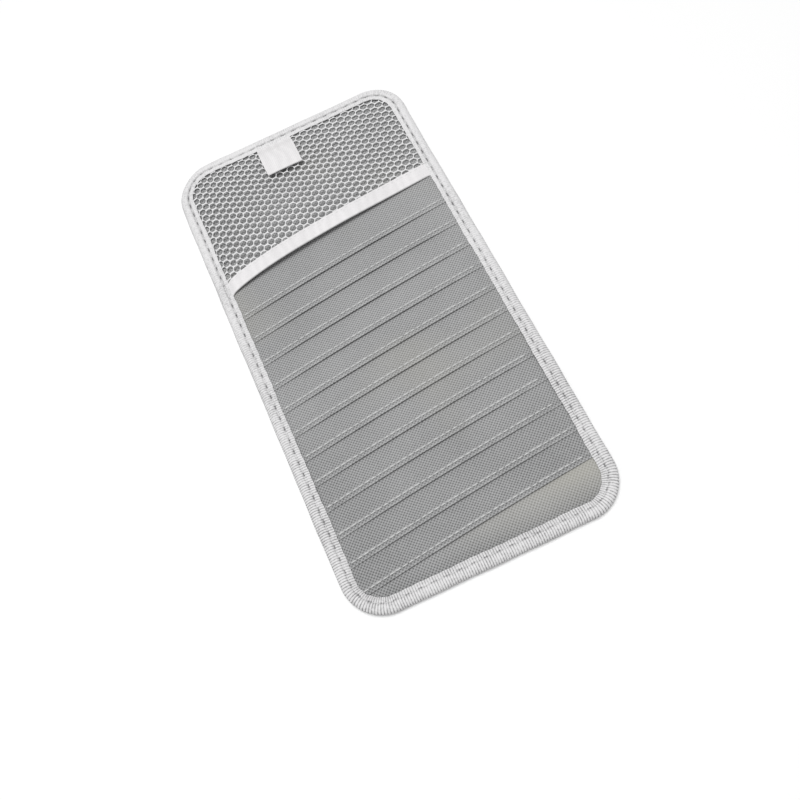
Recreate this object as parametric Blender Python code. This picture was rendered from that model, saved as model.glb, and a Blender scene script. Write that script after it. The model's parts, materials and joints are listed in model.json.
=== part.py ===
"""Twelve-sleeve fabric disc organiser for a car's sun visor, lying on its back.

X runs across it, +Y points to the net pocket's end and +Z is up, out of the front.
The origin is under the middle of the piece, on the plane that it rests on.
"""
import math

import bmesh
import bpy

MM = 0.001

# Whole piece
WIDTH = 155 * MM
LENGTH = 310 * MM
CORNER_RADIUS = 23 * MM
CORNER_STEPS = 8

# Woven tape folded round the edge
BINDING_HEIGHT = 6.8 * MM
BINDING_FLANGE = 8.2 * MM
TAPE_THICKNESS = 0.7 * MM
ROUND_STEPS = 8
STITCH_INSET = 5.6 * MM
THREAD_WIDTH = 0.5 * MM
THREAD_HEIGHT = 0.25 * MM
THREAD_GAP = 0.1 * MM

# Flat layers, from the back to the front
PANEL_INSET = 4 * MM
BACK_PANEL_Z = 1.0 * MM
BACK_PANEL_THICKNESS = 0.5 * MM
BOARD_INSET = 9.5 * MM
BOARD_Z = 1.8 * MM
BOARD_THICKNESS = 1.0 * MM
LINER_Z = 3.1 * MM
LINER_THICKNESS = 0.2 * MM

# Elastic straps across the back
STRAP_WIDTH = 25 * MM
STRAP_THICKNESS = 0.6 * MM
STRAP_Z = 0.15 * MM
STRAP_SPACING = 150 * MM

# Disc sleeves. Depths are measured down from the pocket's end, along the middle line.
SLEEVES = 12
FIRST_EDGE = 111 * MM
SLEEVE_PITCH = 16.2 * MM
PITCH_WANDER = 1.1 * MM
WANDER_SLEEVES = 10
EDGE_SLOPE = 0.116
EDGE_BOW = 0.9 * MM
FIRST_DEEP_END = 13 * MM
LAST_DEEP_END = 178 * MM
SLEEVE_Z = 3.5 * MM
SLEEVE_THICKNESS = 0.2 * MM
LAYER_PITCH = 0.35 * MM
SIDE_GAP = 0.5 * MM
TOP_ROWS = 5

# Free lips of the sleeves
LIP_THICKNESS = 0.35 * MM
LIP_CLEARANCE = 1.0 * MM
FIRST_LIP_WIDTH = 16 * MM
HINGE_GAP = 0.15 * MM
HEM_WIDTH = 3.5 * MM
HEM_THICKNESS = 0.6 * MM
HEM_STEP = 0.1 * MM
HEM_STITCH = 2.6 * MM
LIP_COLUMNS = 12

# Net pocket
POCKET_Z = 6.2 * MM
NET_THICKNESS = 0.6 * MM
POCKET_RISE = 4.6 * MM
POCKET_SKEW = 0.607
MOUTH_DEPTH = 90.1 * MM
MOUTH_SLOPE = 0.1385
MOUTH_BOW = 1.9 * MM
TRIM_WIDTH = 9 * MM
TRIM_DROP = 0.1 * MM
TRIM_THICKNESS = 1.1 * MM
POCKET_COLUMNS = 18
POCKET_ROWS = 8
SEAM_GAP = 0.3 * MM

# Ribbon pull tab
TAB_X = -8 * MM
TAB_WIDTH = 23 * MM
TAB_LENGTH = 24.3 * MM
TAB_AXIS_Z = 7.8 * MM
TAB_TILT = math.radians(7)
TAB_PLY = 0.45 * MM
TAB_FOLD_GAP = 0.5 * MM
TAB_ROOT_GAP = 0.4 * MM
TAB_UNDERSIDE = 0.1 * MM
TAB_FOLD_STEPS = 6

HALF_WIDTH = WIDTH / 2
HALF_LENGTH = LENGTH / 2
CORNER_X = HALF_WIDTH - CORNER_RADIUS
CORNER_Y = HALF_LENGTH - CORNER_RADIUS
LIP_INSET = BINDING_FLANGE + SIDE_GAP
HINGE_Y = HALF_LENGTH - BINDING_FLANGE - SIDE_GAP


def clear_scene():
    """Empties the scene of whatever it opened with."""
    for item in list(bpy.data.objects):
        bpy.data.objects.remove(item)


def material(name, colour, roughness, sheen=0.0):
    """Plain finish for one kind of cloth, board or thread."""
    made = bpy.data.materials.new(name)
    made.use_nodes = True
    shader = made.node_tree.nodes["Principled BSDF"]
    shader.inputs["Base Color"].default_value = (*colour, 1.0)
    shader.inputs["Roughness"].default_value = roughness
    shader.inputs["Metallic"].default_value = 0.0
    shader.inputs["Sheen Weight"].default_value = sheen
    return made


def add_object(name, points, faces, finish, origin):
    """Closed mesh through world points, with its object's origin at the given place."""
    mesh = bpy.data.meshes.new(name)
    local = [tuple(p[i] - origin[i] for i in range(3)) for p in points]
    mesh.from_pydata(local, [], faces)
    shape = bmesh.new()
    shape.from_mesh(mesh)
    bmesh.ops.recalc_face_normals(shape, faces=shape.faces)
    shape.to_mesh(mesh)
    shape.free()
    mesh.materials.append(finish)
    item = bpy.data.objects.new(name, mesh)
    item.location = origin
    bpy.context.scene.collection.objects.link(item)
    return item


def outline(inset):
    """Points of the rounded rectangle that lies the given distance inside the edge."""
    points = []
    radius = CORNER_RADIUS - inset
    for corner, (sign_x, sign_y) in enumerate(((1, 1), (-1, 1), (-1, -1), (1, -1))):
        for step in range(CORNER_STEPS + 1):
            angle = math.radians(90) * (corner + step / CORNER_STEPS)
            x = sign_x * CORNER_X + radius * math.cos(angle)
            y = sign_y * CORNER_Y + radius * math.sin(angle)
            points.append((x, y))
    return points


def slab(name, inset, z_low, thickness, finish):
    """Flat layer with the piece's own rounded outline."""
    rim = outline(inset)
    count = len(rim)
    points = [(x, y, z) for z in (z_low, z_low + thickness) for x, y in rim]
    faces = [tuple(range(count)), tuple(range(count, 2 * count))]
    for i in range(count):
        j = (i + 1) % count
        faces.append((i, j, j + count, i + count))
    return add_object(name, points, faces, finish, (0, 0, z_low))


def edge_ring(name, section, finish):
    """Closed section of (inset, z) points carried round the outline."""
    rings = [[(x, y, z) for x, y in outline(inset)] for inset, z in section]
    stations = len(rings[0])
    points = [p for ring in rings for p in ring]
    faces = []
    for i in range(len(rings)):
        below = (i + 1) % len(rings)
        for j in range(stations):
            k = (j + 1) % stations
            faces.append((i * stations + j, i * stations + k,
                          below * stations + k, below * stations + j))
    return add_object(name, points, faces, finish, (0, 0, 0))


def grid_solid(name, low, high, finish, origin=(0, 0, 0)):
    """Closed solid between two surfaces that share one grid of rows and columns."""
    rows = len(low)
    columns = len(low[0])
    points = [p for surface in (low, high) for row in surface for p in row]

    def at(layer, row, column):
        return (layer * rows + row) * columns + column

    faces = []
    for layer in (0, 1):
        for i in range(rows - 1):
            for j in range(columns - 1):
                faces.append((at(layer, i, j), at(layer, i, j + 1),
                              at(layer, i + 1, j + 1), at(layer, i + 1, j)))
    for i in range(rows - 1):
        for j in (0, columns - 1):
            faces.append((at(0, i, j), at(0, i + 1, j), at(1, i + 1, j), at(1, i, j)))
    for j in range(columns - 1):
        for i in (0, rows - 1):
            faces.append((at(0, i, j), at(0, i, j + 1), at(1, i, j + 1), at(1, i, j)))
    return add_object(name, points, faces, finish, origin)


def extruded(name, section, x_low, x_high, finish, origin):
    """Closed section of (y, z) points carried straight across, along X."""
    count = len(section)
    points = [(x, y, z) for x in (x_low, x_high) for y, z in section]
    faces = [tuple(range(count)), tuple(range(count, 2 * count))]
    for i in range(count):
        j = (i + 1) % count
        faces.append((i, j, j + count, i + count))
    return add_object(name, points, faces, finish, origin)


def slant_depth(x, y):
    """Depth of a point, read along the slope of the sleeves' edges."""
    return HALF_LENGTH - y + EDGE_SLOPE * x


def on_slant(x, depth):
    """Y of the point at X on the slanted line of a given depth."""
    return HALF_LENGTH - depth + EDGE_SLOPE * x


def row_ends(depth, inset):
    """Left and right X at which the slanted row meets the inset outline."""
    rim = outline(inset)
    crossings = []
    for i, (x0, y0) in enumerate(rim):
        x1, y1 = rim[(i + 1) % len(rim)]
        before = slant_depth(x0, y0) - depth
        after = slant_depth(x1, y1) - depth
        if (before < 0) != (after < 0):
            crossings.append(x0 + (x1 - x0) * before / (before - after))
    return min(crossings), max(crossings)


def sleeve_edge(number):
    """Depth of a sleeve's free edge where it meets the binding."""
    wander = PITCH_WANDER * math.sin(2 * math.pi * (number - 2) / WANDER_SLEEVES)
    return FIRST_EDGE + SLEEVE_PITCH * (number - 1) + wander


def deep_end(number):
    """Depth of a sleeve's hidden far edge: the twelve are spread evenly."""
    share = (number - 1) / (SLEEVES - 1)
    return FIRST_DEEP_END + (LAST_DEEP_END - FIRST_DEEP_END) * share


def hinge_depth(number):
    """Depth at which a sleeve comes out from under the one above it."""
    if number == 1:
        return sleeve_edge(1) - FIRST_LIP_WIDTH
    return sleeve_edge(number - 1) + LIP_CLEARANCE


def sleeve_height(number, depth):
    """Height of a sleeve: one layer up for each sleeve that lies under it there."""
    height = SLEEVE_Z
    for below in range(number + 1, SLEEVES + 1):
        start = deep_end(below - 1)
        share = (depth - start) / (deep_end(below) - start)
        height += LAYER_PITCH * min(max(share, 0.0), 1.0)
    return height


def lip_height(number):
    """Height of a sleeve's underside at its free edge."""
    return sleeve_height(number, sleeve_edge(number))


def hinge_point(number):
    """Middle of the crease about which a sleeve's lip lifts."""
    return (0.0, on_slant(0.0, hinge_depth(number)), lip_height(number))


def sleeve_rows(number):
    """Depths of the creases across a sleeve's hidden body."""
    last = hinge_depth(number) - HINGE_GAP
    rows = [deep_end(n) for n in range(number, SLEEVES + 1) if deep_end(n) < last - MM]
    rows.append(last)
    if number > 1:
        return rows
    top = min(slant_depth(x, y) for x, y in outline(PANEL_INSET)) + SEAM_GAP
    extra = [top + (rows[0] - top) * i / TOP_ROWS for i in range(TOP_ROWS)]
    return extra + rows


def sleeve_body(number, finish):
    """Hidden part of a sleeve: a thin sheet stepping down over the sleeves beneath."""
    low = []
    high = []
    for depth in sleeve_rows(number):
        z = sleeve_height(number, depth)
        ends = row_ends(depth, PANEL_INSET)
        low.append([(x, on_slant(x, depth), z) for x in ends])
        high.append([(x, on_slant(x, depth), z + SLEEVE_THICKNESS) for x in ends])
    return grid_solid(f"sleeve_{number:02d}_body", low, high, finish)


def lip_row(number, depth, bow_share, z):
    """Points across a lip at one depth, bowed towards the pocket by a share of the bow."""
    left, right = row_ends(depth, LIP_INSET)
    points = []
    for i in range(LIP_COLUMNS + 1):
        share = i / LIP_COLUMNS
        x = left + (right - left) * share
        bow = EDGE_BOW * bow_share * (1 - (2 * share - 1) ** 2)
        points.append((x, on_slant(x, depth - bow), z))
    return points


def sleeve_lip(number, finish):
    """Visible strip of a sleeve: a thin sheet with a folded hem at its free edge."""
    start = hinge_depth(number) + HINGE_GAP
    edge = sleeve_edge(number)
    z = lip_height(number)
    rows = ((start, 0.0, LIP_THICKNESS),
            (edge - HEM_WIDTH - HEM_STEP, 1.0, LIP_THICKNESS),
            (edge - HEM_WIDTH, 1.0, HEM_THICKNESS),
            (edge, 1.0, HEM_THICKNESS))
    low = [lip_row(number, depth, share, z) for depth, share, _ in rows]
    high = [lip_row(number, depth, share, z + up) for depth, share, up in rows]
    return grid_solid(f"sleeve_{number:02d}_lip", low, high, finish, hinge_point(number))


def hem_thread(number, finish):
    """Line of thread along a sleeve's hem, as one flat strip."""
    depth = sleeve_edge(number) - HEM_STITCH
    z = lip_height(number) + HEM_THICKNESS + THREAD_GAP
    spans = (depth - THREAD_WIDTH / 2, depth + THREAD_WIDTH / 2)
    low = [lip_row(number, span, 1.0, z) for span in spans]
    high = [lip_row(number, span, 1.0, z + THREAD_HEIGHT) for span in spans]
    name = f"sleeve_{number:02d}_hem_thread"
    return grid_solid(name, low, high, finish, hinge_point(number))


def binding(finish):
    """U of tape: half-round outer edge, one flange in front and one behind."""
    outer = BINDING_HEIGHT / 2
    inner = outer - TAPE_THICKNESS
    section = [(BINDING_FLANGE, BINDING_HEIGHT)]
    for radius, turn in ((outer, 1), (inner, -1)):
        for step in range(ROUND_STEPS + 1):
            angle = turn * math.pi * (0.5 - step / ROUND_STEPS)
            section.append((outer - radius * math.cos(angle), outer + radius * math.sin(angle)))
        if turn == 1:
            section.append((BINDING_FLANGE, 0.0))
            section.append((BINDING_FLANGE, TAPE_THICKNESS))
    section.append((BINDING_FLANGE, BINDING_HEIGHT - TAPE_THICKNESS))
    return edge_ring("edge_binding", section, finish)


def binding_thread(finish):
    """Line of thread round the front flange of the tape, as one flat strip."""
    inner = STITCH_INSET + THREAD_WIDTH / 2
    outer = STITCH_INSET - THREAD_WIDTH / 2
    low = BINDING_HEIGHT + THREAD_GAP
    high = low + THREAD_HEIGHT
    section = [(inner, low), (inner, high), (outer, high), (outer, low)]
    return edge_ring("binding_thread", section, finish)


def pocket_arch(x):
    """Share of the pocket's full rise at its mouth: highest left of the middle."""
    half = HALF_WIDTH - LIP_INSET
    share = min(max((x + half) / (2 * half), 0.0), 1.0)
    return math.sin(math.pi * share ** POCKET_SKEW)


def mouth_y(x, above):
    """Y of the line that lies a given distance above the pocket's lower edge."""
    depth = MOUTH_DEPTH - MOUTH_SLOPE * x - MOUTH_BOW * pocket_arch(x) - above
    return HALF_LENGTH - depth


def pocket_half_width(y):
    """Half width of the clear space between the binding's flanges at a given Y."""
    into_corner = max(abs(y) - CORNER_Y, 0.0)
    radius = CORNER_RADIUS - LIP_INSET
    return CORNER_X + math.sqrt(max(radius ** 2 - into_corner ** 2, 0.0))


def pocket_z(x, share):
    """Height of the net, a share of the way from its top seam to its mouth."""
    return POCKET_Z + POCKET_RISE * pocket_arch(x) * math.sin(math.pi / 2 * share)


def net_point(across, share, up):
    """Point of the net: across from -1 to 1, share from the top seam to the trim.

    Its height follows the square of the share, so the net lies flat beside the seam.
    """
    top = HINGE_Y - SEAM_GAP
    edge_x = across * (HALF_WIDTH - LIP_INSET)
    low = mouth_y(edge_x, TRIM_WIDTH + SEAM_GAP)
    y = top + (low - top) * share
    x = across * pocket_half_width(y)
    return (x, y, pocket_z(x, share ** 2) + up)


def pocket_net(finish):
    """Netting as one arched sheet, without its holes."""
    surfaces = []
    for up in (0.0, NET_THICKNESS):
        surface = []
        for i in range(POCKET_ROWS + 1):
            share = i / POCKET_ROWS
            row = [net_point(2 * j / POCKET_COLUMNS - 1, share, up)
                   for j in range(POCKET_COLUMNS + 1)]
            surface.append(row)
        surfaces.append(surface)
    return grid_solid("pocket_net", surfaces[0], surfaces[1], finish, hinge_of_pocket())


def trim_row(above, up):
    """Points across the trim at a given distance above its lower edge."""
    half = HALF_WIDTH - LIP_INSET
    row = []
    for j in range(POCKET_COLUMNS + 1):
        x = half * (2 * j / POCKET_COLUMNS - 1)
        row.append((x, mouth_y(x, above), pocket_z(x, 1.0) - TRIM_DROP + up))
    return row


def pocket_trim(finish):
    """Ribbon along the pocket's mouth."""
    low = [trim_row(above, 0.0) for above in (0.0, TRIM_WIDTH)]
    high = [trim_row(above, TRIM_THICKNESS) for above in (0.0, TRIM_WIDTH)]
    return grid_solid("pocket_trim", low, high, finish, hinge_of_pocket())


def trim_thread(finish):
    """Line of thread along the trim's upper edge, as one flat strip."""
    base = TRIM_THICKNESS + THREAD_GAP
    spans = (TRIM_WIDTH - HEM_STITCH, TRIM_WIDTH - HEM_STITCH + THREAD_WIDTH)
    low = [trim_row(above, base) for above in spans]
    high = [trim_row(above, base + THREAD_HEIGHT) for above in spans]
    return grid_solid("pocket_trim_thread", low, high, finish, hinge_of_pocket())


def hinge_of_pocket():
    """Middle of the top seam, about which the pocket's mouth opens."""
    return (0.0, HINGE_Y, POCKET_Z)


def pull_tab(finish):
    """Ribbon folded double into a hairpin, its fold at the free end."""
    outer = TAB_PLY + TAB_FOLD_GAP / 2
    inner = TAB_FOLD_GAP / 2
    middle = TAB_UNDERSIDE + outer
    fold = TAB_LENGTH - outer
    section = [(TAB_ROOT_GAP, middle + outer)]
    for radius, turn in ((outer, 1), (inner, -1)):
        for step in range(TAB_FOLD_STEPS + 1):
            angle = turn * math.pi * (0.5 - step / TAB_FOLD_STEPS)
            section.append((fold + radius * math.cos(angle), middle + radius * math.sin(angle)))
        if turn == 1:
            section.append((TAB_ROOT_GAP, middle - outer))
            section.append((TAB_ROOT_GAP, middle - inner))
    section.append((TAB_ROOT_GAP, middle + inner))
    turned = []
    for along, up in section:
        y = HINGE_Y - along * math.cos(TAB_TILT) + up * math.sin(TAB_TILT)
        z = TAB_AXIS_Z + along * math.sin(TAB_TILT) + up * math.cos(TAB_TILT)
        turned.append((y, z))
    low = TAB_X - TAB_WIDTH / 2
    origin = (TAB_X, HINGE_Y, TAB_AXIS_Z)
    return extruded("pull_tab", turned, low, low + TAB_WIDTH, finish, origin)


def back_strap(name, y, finish):
    """Flat strap across the back, between the tape's flanges."""
    half = HALF_WIDTH - LIP_INSET
    low = [[(x, y + side * STRAP_WIDTH / 2, STRAP_Z) for x in (-half, half)] for side in (-1, 1)]
    high = [[(px, py, pz + STRAP_THICKNESS) for px, py, pz in row] for row in low]
    return grid_solid(name, low, high, finish, (0.0, y, STRAP_Z))


def build():
    """Makes every material and piece, from the back to the front."""
    clear_scene()
    grey_cloth = material("grey_canvas", (0.33, 0.34, 0.335), 0.85, 0.2)
    board = material("stiffener", (0.5, 0.48, 0.44), 0.7)
    tape = material("pale_tape", (0.66, 0.65, 0.655), 0.8, 0.2)
    ribbon = material("white_ribbon", (0.82, 0.81, 0.81), 0.7, 0.2)
    net = material("white_net", (0.7, 0.69, 0.695), 0.7)
    thread = material("thread", (0.5, 0.5, 0.5), 0.7)
    elastic = material("black_elastic", (0.04, 0.04, 0.04), 0.8)

    slab("back_panel", PANEL_INSET, BACK_PANEL_Z, BACK_PANEL_THICKNESS, grey_cloth)
    slab("stiffener_board", BOARD_INSET, BOARD_Z, BOARD_THICKNESS, board)
    slab("base_liner", PANEL_INSET, LINER_Z, LINER_THICKNESS, grey_cloth)
    for number in range(1, SLEEVES + 1):
        sleeve_body(number, grey_cloth)
        sleeve_lip(number, grey_cloth)
        hem_thread(number, thread)
    binding(tape)
    binding_thread(thread)
    pocket_net(net)
    pocket_trim(ribbon)
    trim_thread(thread)
    pull_tab(ribbon)
    back_strap("back_strap_top", STRAP_SPACING / 2, elastic)
    back_strap("back_strap_bottom", -STRAP_SPACING / 2, elastic)


build()
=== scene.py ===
import json
import math

import bmesh
import bpy
import numpy as np
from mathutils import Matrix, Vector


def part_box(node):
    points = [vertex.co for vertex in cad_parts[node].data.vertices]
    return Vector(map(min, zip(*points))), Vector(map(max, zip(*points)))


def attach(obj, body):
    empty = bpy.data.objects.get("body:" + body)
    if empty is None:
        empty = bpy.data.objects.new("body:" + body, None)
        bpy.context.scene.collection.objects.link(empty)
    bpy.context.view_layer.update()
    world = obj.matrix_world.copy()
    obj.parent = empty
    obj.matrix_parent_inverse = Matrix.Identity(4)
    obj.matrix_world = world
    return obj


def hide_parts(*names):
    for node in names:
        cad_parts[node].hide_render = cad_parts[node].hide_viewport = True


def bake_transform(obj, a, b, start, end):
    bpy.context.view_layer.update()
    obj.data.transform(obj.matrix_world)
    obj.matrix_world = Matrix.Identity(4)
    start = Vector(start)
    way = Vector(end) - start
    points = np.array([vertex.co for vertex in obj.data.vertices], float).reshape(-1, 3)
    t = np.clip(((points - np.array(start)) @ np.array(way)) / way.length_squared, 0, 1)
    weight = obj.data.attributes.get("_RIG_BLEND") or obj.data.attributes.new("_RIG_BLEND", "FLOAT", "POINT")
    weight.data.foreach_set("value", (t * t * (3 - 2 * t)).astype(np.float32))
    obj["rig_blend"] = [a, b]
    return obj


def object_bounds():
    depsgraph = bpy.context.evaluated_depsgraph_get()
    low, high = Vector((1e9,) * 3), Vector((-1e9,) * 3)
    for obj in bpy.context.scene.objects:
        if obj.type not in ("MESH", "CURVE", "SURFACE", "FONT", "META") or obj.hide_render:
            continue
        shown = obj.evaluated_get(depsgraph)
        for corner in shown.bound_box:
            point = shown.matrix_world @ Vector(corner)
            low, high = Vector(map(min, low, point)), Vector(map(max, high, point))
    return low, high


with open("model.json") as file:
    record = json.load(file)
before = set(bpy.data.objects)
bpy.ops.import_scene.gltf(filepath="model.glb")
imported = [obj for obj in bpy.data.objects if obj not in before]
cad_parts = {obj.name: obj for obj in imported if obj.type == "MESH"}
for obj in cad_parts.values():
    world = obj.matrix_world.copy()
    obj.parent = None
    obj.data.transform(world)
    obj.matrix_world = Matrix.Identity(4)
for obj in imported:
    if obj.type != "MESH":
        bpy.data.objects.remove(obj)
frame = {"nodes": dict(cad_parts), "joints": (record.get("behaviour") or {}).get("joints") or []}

cad_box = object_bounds()

# ---------------------------------------------------------------------------------------
# Back cloth. One rounded rectangle of grey non-woven canvas, embossed all over with small
# pits, laid behind the stiffening board. The folded tape grips it all round.
# ---------------------------------------------------------------------------------------
MM = 0.001
TURN = 2 * math.pi
HALF_WIDTH, HALF_LENGTH = cad_box[1][0], cad_box[1][1]
CORNER_RADIUS = 23 * MM
CORE_X = HALF_WIDTH - CORNER_RADIUS
CORE_Y = HALF_LENGTH - CORNER_RADIUS
CORNER_PULLS = ((-1, 1, 2.3 * MM), (1, 1, -1.2 * MM))
PULL_REACH = 32 * MM
PANEL_INSET = 4 * MM
PANEL_CLOTH = 0.3 * MM
EMBOSS_PITCH_MM = 1.43
EMBOSS_DEPTH = 0.22 * MM
CANVAS_GREY = (0.420, 0.422, 0.424, 1)
CANVAS_DARK = (0.120, 0.121, 0.122, 1)
# The pale canvas colour below is painted highlight, used on the sleeve hems.
CANVAS_HIGHLIGHT = (0.620, 0.620, 0.620, 1)
CANVAS_WARM = (0.430, 0.417, 0.360, 1)


class Wire:
    """One output in a material's tree. Arithmetic on it adds Math nodes to the tree."""

    def __init__(self, tree, socket=None):
        self.tree = tree
        self.socket = socket

    def node(self, kind, feeds=None, output=0, **settings):
        """Adds a node of a kind: settings first, then a value or a link for each socket."""
        made = self.tree.nodes.new(kind)
        for key, value in settings.items():
            setattr(made, key, value)
        for key, value in (feeds or {}).items():
            if isinstance(value, Wire):
                self.tree.links.new(value.socket, made.inputs[key])
            else:
                made.inputs[key].default_value = value
        return Wire(self.tree, made.outputs[output])

    def math(self, operation, *values, clamp=False):
        """A Math node on this value and the others, in that order."""
        feeds = dict(enumerate((self, *values)))
        return self.node("ShaderNodeMath", feeds, operation=operation, use_clamp=clamp)

    def __add__(self, other):
        return self.math("ADD", other)

    def __sub__(self, other):
        return self.math("SUBTRACT", other)

    def __rsub__(self, other):
        return self.node("ShaderNodeMath", {0: other, 1: self}, operation="SUBTRACT")

    def __mul__(self, other):
        return self.math("MULTIPLY", other)

    def __pow__(self, other):
        return self.math("POWER", other)

    __radd__ = __add__
    __rmul__ = __mul__

    def clamped(self):
        """This value, held between 0 and 1."""
        return self.math("ADD", 0.0, clamp=True)

    def wave(self, pitch):
        """Half of one plus the cosine of this value: it crests at every pitch."""
        return ((self * (TURN / pitch)).math("COSINE") + 1.0) * 0.5

    def near(self, centre, steepness):
        """1 where this value equals the centre, falling by the steepness per unit to 0."""
        return (1.0 - (self - centre).math("ABSOLUTE") * steepness).clamped()

    def mixed(self, dull, bright):
        """Colour that goes from the first to the second as this value goes from 0 to 1."""
        feeds = {0: self, 6: dull, 7: bright}
        return self.node("ShaderNodeMix", feeds, output=2, data_type="RGBA")

    def noise(self, scale, detail=2.0, roughness=0.5):
        """Noise from 0 to 1 over the piece, with the scale in features per metre."""
        place = self.node("ShaderNodeTexCoord", output=3)
        feeds = {"Vector": place, "Scale": scale, "Detail": detail, "Roughness": roughness}
        return self.node("ShaderNodeTexNoise", feeds)

    def part_mm(self, part):
        """One part of this vector, the first being 0, in millimetres."""
        return self.node("ShaderNodeSeparateXYZ", {0: self}, part) * 1000.0

    def pattern_mm(self):
        """The two coordinates of the piece's own pattern, in millimetres."""
        place = self.node("ShaderNodeUVMap", uv_map="pattern")
        return place.part_mm(0), place.part_mm(1)

    def place_mm(self, part):
        """One coordinate in the shared frame, X being 0, in millimetres."""
        return self.node("ShaderNodeTexCoord", output=3).part_mm(part)


def begin_finish(name, roughness, sheen=0.0):
    """A material with its fixed values set, as its tree's wire and its shader node."""
    made = bpy.data.materials.new(name)
    made.use_nodes = True
    tree = made.node_tree
    shader = tree.nodes["Principled BSDF"]
    shader.inputs["Roughness"].default_value = roughness
    shader.inputs["Sheen Weight"].default_value = sheen
    shader.inputs["Sheen Roughness"].default_value = 0.6
    shader.inputs["Specular IOR Level"].default_value = 0.25
    return made, Wire(tree), shader


def end_finish(wire, shader, colour, height, depth):
    """Feeds the colour, and a bump whose height of 0 to 1 stands for the depth in metres."""
    feeds = {"Height": height, "Distance": depth, "Strength": 1.0}
    bump = wire.node("ShaderNodeBump", feeds)
    wire.tree.links.new(colour.socket, shader.inputs["Base Color"])
    wire.tree.links.new(bump.socket, shader.inputs["Normal"])


def canvas(name, shading_and_tint, slant=0.0):
    """Embossed canvas: a pit lies wherever two diagonal cosine waves crest together.

    The slant is how far the cloth's own up drifts for each millimetre across. The second
    argument is a function from the two pattern coordinates, in millimetres, to the shares of
    painted shade, painted highlight and warm tint on this piece; only the tint is the cloth's own.
    """
    made, wire, shader = begin_finish(name, 0.9, 0.08)
    u, v = wire.pattern_mm()
    step = TURN / (EMBOSS_PITCH_MM * math.sqrt(2))
    level = v + u * slant
    waves = ((u + level) * step).math("COSINE") + ((u - level) * step).math("COSINE")
    pit = (waves * 0.45 + 0.25).clamped()
    fibre = wire.noise(900.0, 3.0, 0.65)
    cloud = wire.noise(22.0, 2.0)
    # The first share is painted shade, the second painted highlight, the third the cloth's own warm tint.
    dark, pale, warm = shading_and_tint(wire, u, v)
    # The pit share of the grey is painted shade in the pits.
    shade = (pit * 0.7 + (cloud - 0.5) * 0.3 + (fibre - 0.5) * 0.6 + dark + 0.1).clamped()
    grey = pale.mixed(shade.mixed(CANVAS_GREY, CANVAS_DARK), CANVAS_HIGHLIGHT)
    end_finish(wire, shader, warm.mixed(grey, CANVAS_WARM), fibre * 0.25 - pit, EMBOSS_DEPTH)
    return made


def plain_marks(wire, u, v):
    """No painted shade and no painted highlight, only faint warm clouds of tint."""
    return u * 0.0, u * 0.0, ((wire.noise(14.0, 1.0) - 0.5) * 3.0).clamped() * 0.2


def smooth(t):
    """Eases from 0 to 1: three t squared less two t cubed."""
    t = np.clip(t, 0, 1)
    return t * t * (3 - 2 * t)


def settled(points):
    """Points as the sewn piece lies: the top left corner drawn in, the top right let out."""
    points = points.reshape(-1, 3).copy()
    for x, y, pull in CORNER_PULLS:
        away = np.hypot(points[:, 0] - x * HALF_WIDTH, points[:, 1] - y * HALF_LENGTH)
        shift = pull * smooth(1 - away / PULL_REACH) / math.sqrt(2)
        points[:, 0] -= x * shift
        points[:, 1] -= y * shift
    return points


def put_mesh(name, points, quads, finish, pattern):
    """Mesh from points and quads, with the pattern coordinates of every face corner."""
    mesh = bpy.data.meshes.new(name)
    mesh.from_pydata(settled(points).tolist(), [], quads.tolist())
    layer = mesh.uv_layers.new(name="pattern")
    layer.data.foreach_set("uv", pattern.astype(np.float32).ravel())
    shape = bmesh.new()
    shape.from_mesh(mesh)
    bmesh.ops.recalc_face_normals(shape, faces=shape.faces)
    shape.to_mesh(mesh)
    shape.free()
    mesh.shade_smooth()
    mesh.set_sharp_from_angle(angle=math.radians(60))
    mesh.materials.append(finish)
    piece = bpy.data.objects.new(name, mesh)
    bpy.context.scene.collection.objects.link(piece)
    return piece


def grid_quads(index):
    """Quads between the neighbours of a grid of point numbers, on its last two axes."""
    return np.stack([index[..., :-1, :-1], index[..., 1:, :-1],
                     index[..., 1:, 1:], index[..., :-1, 1:]], -1)


def thick_cloth(name, middle, thickness, finish, pattern):
    """Closed cloth about a grid of middle points.

    Its faces lie half the thickness to each side along the grid's normal, the cross
    product of its two directions. The loop of rows runs down the front and up the back,
    and strips of quads close the two sides.
    """
    rows, columns = middle.shape[:2]
    normal = np.cross(np.gradient(middle, axis=0), np.gradient(middle, axis=1))
    normal /= np.linalg.norm(normal, axis=2, keepdims=True)
    half = normal * thickness / 2
    points = np.concatenate([middle + half, (middle - half)[::-1]])
    places = np.concatenate([pattern, pattern[::-1]])
    index = np.arange(2 * rows * columns).reshape(2 * rows, columns)
    ring = np.vstack([index, index[:1]])
    quads = [grid_quads(ring)]
    back = index[::-1]
    for column, turn in ((0, 1), (columns - 1, -1)):
        side = [index[:rows - 1, column], back[:rows - 1, column],
                back[1:rows, column], index[1:rows, column]]
        quads.append(np.stack(side[::turn], -1)[:, None])
    quads = np.concatenate([q.reshape(-1, 4) for q in quads])
    return put_mesh(name, points, quads, finish, places.reshape(-1, 2)[quads])


def half_width(y, inset):
    """Half the width of the rounded outline at Y: full width, then the corner's circle."""
    into_corner = np.clip(np.abs(y) - CORE_Y, 0, None)
    radius = CORNER_RADIUS - inset
    return CORE_X + np.sqrt(np.clip(radius ** 2 - into_corner ** 2, 0, None))


def ripple(x, y, size, seed):
    """Smooth unevenness: three slanting sine waves of about the given height."""
    total = np.zeros(np.broadcast(x, y).shape)
    for turn in range(3):
        angle = seed + 2.1 * turn
        wave = (x * math.cos(angle) + y * math.sin(angle)) * (90 + 45 * turn)
        total = total + np.sin(wave + 1.7 * seed + turn)
    return total * size / 3


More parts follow.
